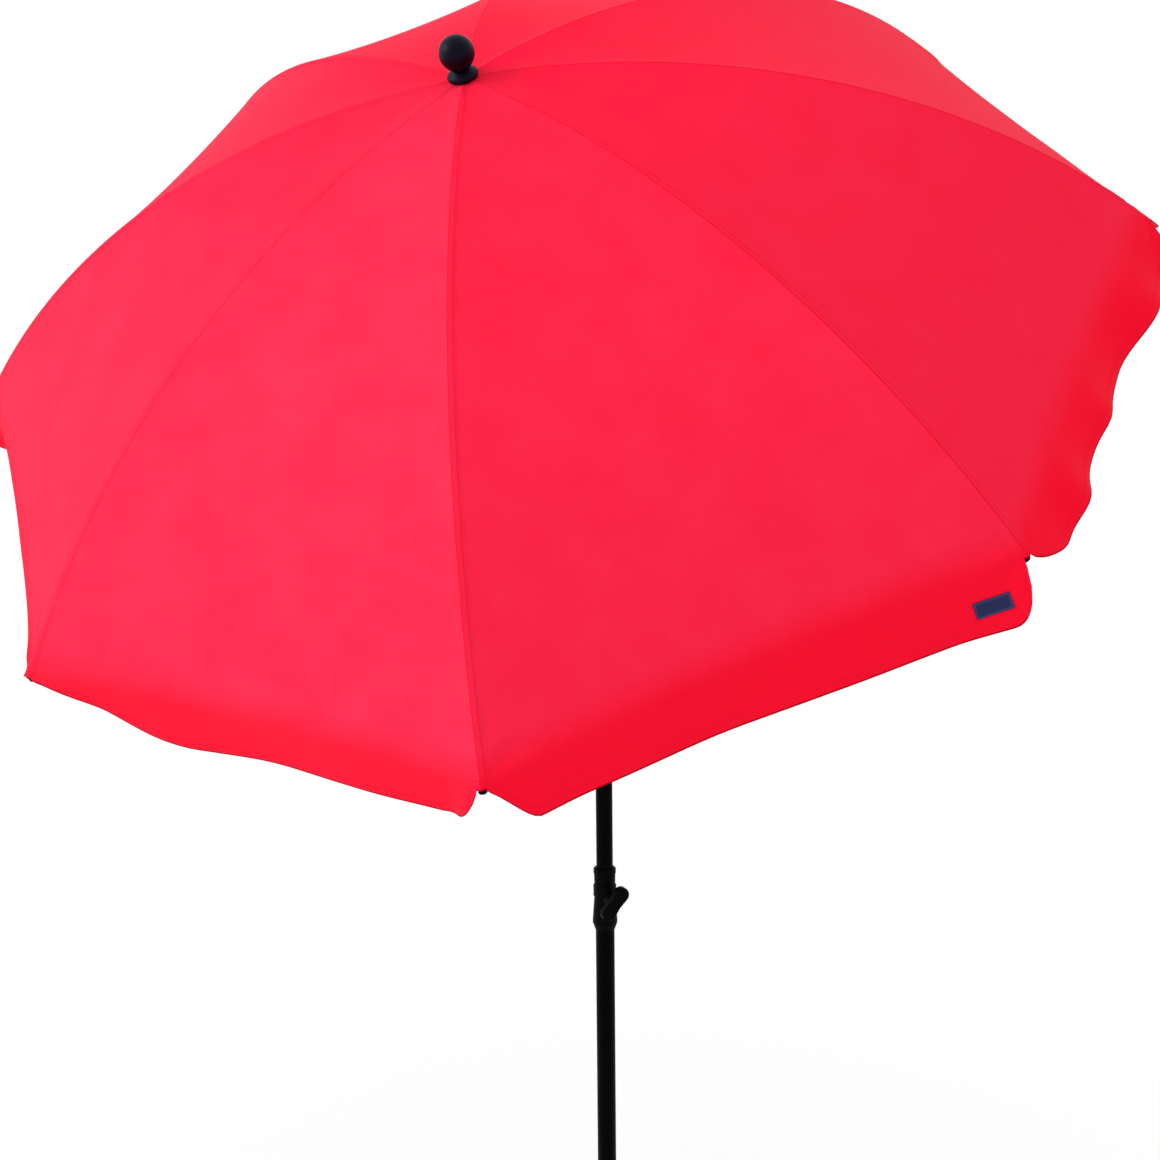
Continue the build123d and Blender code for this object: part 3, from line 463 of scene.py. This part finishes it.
# Materials
class Shader:
    """A material's node tree, with short names for what the materials below use."""

    def __init__(self, name):
        self.material = bpy.data.materials.new(name)
        self.material.use_nodes = True
        self.tree = self.material.node_tree
        self.surface = self.tree.nodes["Principled BSDF"]

    def node(self, kind, **settings):
        made = self.tree.nodes.new(kind)
        for key, value in settings.items():
            setattr(made, key, value)
        return made

    def join(self, source, target):
        self.tree.links.new(source, target)

    def set(self, **values):
        for key, value in values.items():
            self.surface.inputs[key.replace("_", " ")].default_value = value

    def noise(self, vector, scale, detail=4.0, roughness=0.55):
        made = self.node("ShaderNodeTexNoise")
        made.inputs["Scale"].default_value = scale
        made.inputs["Detail"].default_value = detail
        made.inputs["Roughness"].default_value = roughness
        self.join(vector, made.inputs["Vector"])
        return made.outputs["Fac"]

    def mixed(self, first, share, second):
        """The first value by its share and the second by the rest."""
        part = self.math("MULTIPLY", first, share)
        return self.math("ADD", part, self.math("MULTIPLY", second, 1 - share))

    def place(self, scale=(1, 1, 1)):
        coordinates = self.node("ShaderNodeTexCoord")
        mapping = self.node("ShaderNodeMapping")
        mapping.inputs["Scale"].default_value = scale
        self.join(coordinates.outputs["Object"], mapping.inputs["Vector"])
        return mapping.outputs["Vector"]

    def math(self, operation, *values):
        made = self.node("ShaderNodeMath", operation=operation)
        for socket, value in zip(made.inputs, values):
            if isinstance(value, (int, float)):
                socket.default_value = value
            else:
                self.join(value, socket)
        return made.outputs[0]

    def stretch(self, value, first, last):
        """0 where the value is first, 1 where it is last."""
        made = self.node("ShaderNodeMapRange")
        self.join(value, made.inputs["Value"])
        made.inputs["From Min"].default_value = first
        made.inputs["From Max"].default_value = last
        return made.outputs["Result"]

    def attribute(self, name):
        return self.node("ShaderNodeAttribute", attribute_name=name).outputs["Fac"]

    def ramp(self, factor, *stops):
        made = self.node("ShaderNodeValToRGB")
        ramp = made.color_ramp
        while len(ramp.elements) < len(stops):
            ramp.elements.new(0.5)
        for element, (position, colour) in zip(ramp.elements, stops):
            element.position = position
            element.color = (*colour, 1.0)
        self.join(factor, made.inputs["Fac"])
        return made.outputs["Color"]

    def over(self, under, share, colour):
        """A plain colour laid over another by its share."""
        made = self.node("ShaderNodeMix", data_type="RGBA", clamp_factor=True)
        self.join(share, made.inputs["Factor"])
        self.join(under, made.inputs["A"])
        made.inputs["B"].default_value = (*colour, 1.0)
        return made.outputs["Result"]

    def bump(self, height, strength, distance, after=None):
        made = self.node("ShaderNodeBump")
        made.inputs["Strength"].default_value = strength
        made.inputs["Distance"].default_value = distance
        self.join(height, made.inputs["Height"])
        if after is not None:
            self.join(after, made.inputs["Normal"])
        return made.outputs["Normal"]


def band(shader, value, middle, half_width):
    """1 within half_width of the middle, else 0."""
    away = shader.math("ABSOLUTE", shader.math("SUBTRACT", value, middle))
    return shader.math("LESS_THAN", away, half_width)


def cloth_material():
    """Coated woven polyester: saturated red, satin, faint mottling, sewn seams and hem, with painted sheen
    above the fold and on the panels towards the key light, painted shade on the valance and a painted shadow
    at the hem's edge.
    """
    shader = Shader("cover_cloth")
    shader.set(Roughness=0.62, Specular_IOR_Level=0.03, Specular_Tint=(0.7, 0.6, 1.0, 1.0))
    seam = shader.attribute("seam")
    hem = shader.attribute("hem")
    along = shader.attribute("along")
    broad = shader.noise(shader.place(), 14.0, 4.0, 0.6)
    grain = shader.noise(shader.place(), 60.0, 5.0, 0.65)
    mottle = shader.stretch(shader.mixed(broad, 0.8, grain), 0.38, 0.62)
    # Painted shade on the valance and painted sheen above the fold, set by the distance below the fold
    colour = shader.ramp(
        shader.stretch(along, RAMP_START, RAMP_END),
        (0.00, (0.98, 0.0030, 0.024)),
        (0.05, (0.97, 0.0150, 0.056)),
        (0.50, (0.98, 0.0155, 0.058)),
        (1.00, (0.98, 0.0110, 0.050)),
    )
    # Painted sheen: a pale overlay by panel, highest on the panels towards the key light and less on the
    # valance
    factor = shader.math("ADD", shader.stretch(along, SHEEN_FROM, SHEEN_TO), VALANCE_SHEEN)
    pale = shader.math("MULTIPLY", shader.attribute("painted_sheen"), factor)
    colour = shader.over(colour, pale, (0.98, 0.060, 0.140))
    sewing = shader.math("ADD", band(shader, seam, *SEAM_STITCHES), band(shader, hem, *HEM_STITCHES))
    sewing = shader.math("ADD", sewing, band(shader, seam, *SEAM_LINE))
    colour = shader.over(colour, shader.math("MULTIPLY", mottle, 0.26), (0.95, 0.004, 0.026))
    colour = shader.over(colour, sewing, (0.86, 0.005, 0.026))
    # Painted shadow along the hem's turned edge
    colour = shader.over(colour, shader.math("LESS_THAN", hem, HEM_SHADOW), (0.34, 0.001, 0.006))
    warp = shader.math("SINE", shader.math("MULTIPLY", seam, 2 * math.pi / THREAD_PAIR))
    weft = shader.math("SINE", shader.math("MULTIPLY", along, 2 * math.pi / THREAD_PAIR))
    weave = shader.math("MULTIPLY", warp, weft)
    shade = shader.math("MULTIPLY", shader.stretch(weave, 0.2, 1.0), 0.22)
    colour = shader.over(colour, shade, (0.78, 0.004, 0.026))
    shader.join(colour, shader.surface.inputs["Base Color"])
    normal = shader.bump(weave, 0.30, 0.0002)
    normal = shader.bump(grain, 0.25, 0.0008, normal)
    shader.join(normal, shader.surface.inputs["Normal"])
    return shader.material


def patch_material():
    """Dark woven patch with a stitched border."""
    shader = Shader("cover_patch")
    shader.set(Roughness=0.7, Specular_IOR_Level=0.12)
    edge = shader.attribute("edge")
    grain = shader.noise(shader.place((1, 1, 3)), 900.0, 3.0)
    colour = shader.ramp(grain, (0.35, (0.013, 0.017, 0.068)), (0.65, (0.022, 0.028, 0.105)))
    first, last = PATCH_BORDER
    border = band(shader, edge, (first + last) / 2, (last - first) / 2)
    colour = shader.over(colour, border, (0.042, 0.046, 0.120))
    shader.join(colour, shader.surface.inputs["Base Color"])
    shader.join(shader.bump(grain, 0.4, 0.0003), shader.surface.inputs["Normal"])
    return shader.material


# Black surfaces: darkest and lightest colour, specular level, roughness, grain per metre, its depth, sheen
Finish = namedtuple("Finish", "dark light gloss roughness grain depth sheen", defaults=((1, 1, 1),))
FINISHES = {
    "frame_paint": Finish((0.0005, 0.0004, 0.0003), (0.0011, 0.0009, 0.0007), 0.028, 0.40, 700.0, 0.10),
    "black_plastic": Finish((0.0006, 0.0005, 0.0005), (0.0014, 0.0012, 0.0012), 0.040, 0.50, 1100.0, 0.25),
    # The finial's black leans to purple; its red part is a painted reflection of the red cover below it
    "finial_plastic": Finish(
        (0.0020, 0.0003, 0.0018), (0.0032, 0.0007, 0.0030), 0.19, 0.48, 900.0, 0.12, (0.45, 0.45, 1.0)
    ),
    "base_composite": Finish((0.010, 0.010, 0.010), (0.026, 0.026, 0.026), 0.20, 0.72, 420.0, 0.60),
    "base_rubber": Finish((0.008, 0.008, 0.008), (0.016, 0.016, 0.016), 0.20, 0.80, 500.0, 0.40),
}
GLOSS_SPREAD = 0.16          # of the roughness, from its smoothest to its roughest places


def moulded_material(name, finish):
    """Painted or moulded surface with a fine grain, uneven colour and uneven gloss."""
    shader = Shader(name)
    shader.set(Specular_IOR_Level=finish.gloss, Specular_Tint=(*finish.sheen, 1.0))
    grain = shader.noise(shader.place(), finish.grain, 5.0, 0.6)
    patches = shader.noise(shader.place(), 14.0, 3.0)
    colour = shader.ramp(shader.mixed(grain, 0.5, patches), (0.35, finish.dark), (0.70, finish.light))
    shader.join(colour, shader.surface.inputs["Base Color"])
    gloss = shader.math("MULTIPLY_ADD", patches, GLOSS_SPREAD, finish.roughness - GLOSS_SPREAD / 2)
    shader.join(gloss, shader.surface.inputs["Roughness"])
    shader.join(shader.bump(grain, finish.depth, 0.0004), shader.surface.inputs["Normal"])
    return shader.material


def steel_material():
    """Zinc-plated steel with fine drawn lines."""
    shader = Shader("plated_steel")
    shader.set(Metallic=1.0)
    drawn = shader.noise(shader.place((900, 900, 60)), 1.0, 3.0)
    patches = shader.noise(shader.place(), 30.0, 4.0)
    colour = shader.ramp(patches, (0.30, (0.27, 0.27, 0.28)), (0.70, (0.38, 0.38, 0.39)))
    shader.join(colour, shader.surface.inputs["Base Color"])
    gloss = shader.math("MULTIPLY_ADD", drawn, 0.20, 0.26)
    shader.join(gloss, shader.surface.inputs["Roughness"])
    shader.join(shader.bump(drawn, 0.15, 0.0001), shader.surface.inputs["Normal"])
    return shader.material


MATERIALS = {name: moulded_material(name, finish) for name, finish in FINISHES.items()}
MATERIALS["cover_cloth"] = cloth_material()
MATERIALS["plated_steel"] = steel_material()


# Stage
def seen_directly(tree):
    """1 for the camera's own rays and for those of reflections and glass, else 0."""
    rays = tree.nodes.new("ShaderNodeLightPath")
    mirrored = tree.nodes.new("ShaderNodeMath")
    mirrored.operation = "MAXIMUM"
    either = tree.nodes.new("ShaderNodeMath")
    either.operation = "MAXIMUM"
    tree.links.new(rays.outputs["Is Glossy Ray"], mirrored.inputs[0])
    tree.links.new(rays.outputs["Is Transmission Ray"], mirrored.inputs[1])
    tree.links.new(rays.outputs["Is Camera Ray"], either.inputs[0])
    tree.links.new(mirrored.outputs[0], either.inputs[1])
    return either.outputs[0]


def backdrop_material():
    """White to the camera and in reflections, with some of the floor's own shading kept for its shadow."""
    material = bpy.data.materials.new("backdrop")
    material.use_nodes = True
    tree = material.node_tree
    tree.nodes.clear()
    output = tree.nodes.new("ShaderNodeOutputMaterial")
    mix = tree.nodes.new("ShaderNodeMixShader")
    diffuse = tree.nodes.new("ShaderNodeBsdfDiffuse")
    diffuse.inputs["Color"].default_value = (*FLOOR_GREY, 1.0)
    glow = tree.nodes.new("ShaderNodeEmission")
    share = tree.nodes.new("ShaderNodeMath")
    share.operation = "MULTIPLY"
    place = tree.nodes.new("ShaderNodeNewGeometry")
    away = tree.nodes.new("ShaderNodeVectorMath")
    away.operation = "LENGTH"
    fade = tree.nodes.new("ShaderNodeMapRange")
    fade.inputs["From Min"].default_value = SHADOW_FROM
    fade.inputs["From Max"].default_value = SHADOW_TO
    fade.inputs["To Min"].default_value = SHADOW_WHITE
    fade.inputs["To Max"].default_value = 1.0
    tree.links.new(place.outputs["Position"], away.inputs[0])
    tree.links.new(away.outputs["Value"], fade.inputs["Value"])
    tree.links.new(fade.outputs["Result"], share.inputs[1])
    tree.links.new(seen_directly(tree), share.inputs[0])
    tree.links.new(share.outputs[0], mix.inputs["Fac"])
    tree.links.new(diffuse.outputs[0], mix.inputs[1])
    tree.links.new(glow.outputs[0], mix.inputs[2])
    tree.links.new(mix.outputs[0], output.inputs["Surface"])
    return material


def make_floor():
    mesh = bpy.data.meshes.new("floor")
    half = FLOOR_HALF
    corners = [(-half, -half, 0), (half, -half, 0), (half, half, 0), (-half, half, 0)]
    mesh.from_pydata(corners, [], [(0, 1, 2, 3)])
    floor = bpy.data.objects.new("floor", mesh)
    bpy.context.scene.collection.objects.link(floor)
    floor.data.materials.append(backdrop_material())


def make_world():
    world = bpy.data.worlds.new("studio")
    bpy.context.scene.world = world
    world.use_nodes = True
    tree = world.node_tree
    tree.nodes.clear()
    output = tree.nodes.new("ShaderNodeOutputWorld")
    mix = tree.nodes.new("ShaderNodeMixShader")
    tree.links.new(seen_directly(tree), mix.inputs["Fac"])
    for socket, strength in zip(mix.inputs[1:], (WORLD_LIGHT, WORLD_SEEN)):
        white = tree.nodes.new("ShaderNodeBackground")
        white.inputs["Color"].default_value = (1.0, 1.0, 1.0, 1.0)
        white.inputs["Strength"].default_value = strength
        tree.links.new(white.outputs[0], socket)
    tree.links.new(mix.outputs[0], output.inputs["Surface"])


def make_key_light():
    data = bpy.data.lights.new("key", "AREA")
    data.shape = "DISK"
    data.size = KEY_SIZE
    data.energy = KEY_POWER
    lamp = bpy.data.objects.new("key", data)
    bpy.context.scene.collection.objects.link(lamp)
    lamp.location = KEY_PLACE
    lamp.rotation_euler = (Vector(KEY_TARGET) - Vector(KEY_PLACE)).to_track_quat("-Z", "Y").to_euler()


def make_camera():
    data = bpy.data.cameras.new("camera")
    data.sensor_width = CAMERA_SENSOR
    data.lens = CAMERA_LENS
    camera = bpy.data.objects.new("camera", data)
    bpy.context.scene.collection.objects.link(camera)
    forward = Vector((0, math.cos(CAMERA_PITCH), -math.sin(CAMERA_PITCH)))
    level_up = Vector((0, math.sin(CAMERA_PITCH), math.cos(CAMERA_PITCH)))
    level_right = Vector((1, 0, 0))
    right = math.cos(CAMERA_ROLL) * level_right + math.sin(CAMERA_ROLL) * level_up
    up = math.cos(CAMERA_ROLL) * level_up - math.sin(CAMERA_ROLL) * level_right
    turn = Matrix.Rotation(CAMERA_HEADING, 3, "Z")
    axes = Matrix((turn @ right, turn @ up, turn @ -forward)).transposed().to_4x4()
    camera.matrix_world = Matrix.Translation(CAMERA_PLACE) @ axes
    bpy.context.scene.camera = camera


make_camera()
make_floor()
make_world()
make_key_light()
bpy.context.scene.view_settings.view_transform = "Standard"

# Finishes of the solid model
for part in frame["record"]["subparts"]:
    surface = frame["nodes"][part["node"]].data.materials
    surface.clear()
    surface.append(MATERIALS[part["material_slot"]])


# Cover pieces on their ribs
def flat_cut(first, last, over_rib):
    """Size (width and length) and area, before sewing, of a strip or of a band's two flanks."""
    samples = 200
    t = np.linspace(first, last, samples)
    width, strip = half_widths(t)
    cut = 2 * strip if over_rib else 2 * (width - strip)
    return (float(cut.max()), last - first), TAUT * float(cut.mean()) * (last - first)


def gather(thing, index):
    """The cloth moves with its rib."""
    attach(thing, f"rib_{index + 1}")
    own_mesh(thing)


def sew(thing, index, flat, area, with_pieces=()):
    """Finish a piece of the cover on its rib."""
    thing.data.materials.append(MATERIALS["cover_cloth"])
    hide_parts(f"cover_{index + 1}")


starts = cover_rows()[0][band_edges()[:-1]]
shares = shut_share(starts)
patch = cover_patch()
patch.data.materials.append(patch_material())
patch_rib = PATCH_PANEL + 1
gather(patch, patch_rib)
for index in range(RIB_COUNT):
    strip, bands = cover_segment(index)
    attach(strip, f"rib_{index + 1}")
    sew(strip, index, *flat_cut(starts[0], SEAM_END, True))
    for number, cloth in enumerate(bands):
        at_hem = number == BANDS - 1
        gather(cloth, index)
        cut = flat_cut(starts[number], VALANCE_DEPTH if at_hem else starts[number + 1], False)
        sew(cloth, index, *cut, [patch] if at_hem and index == patch_rib else ())
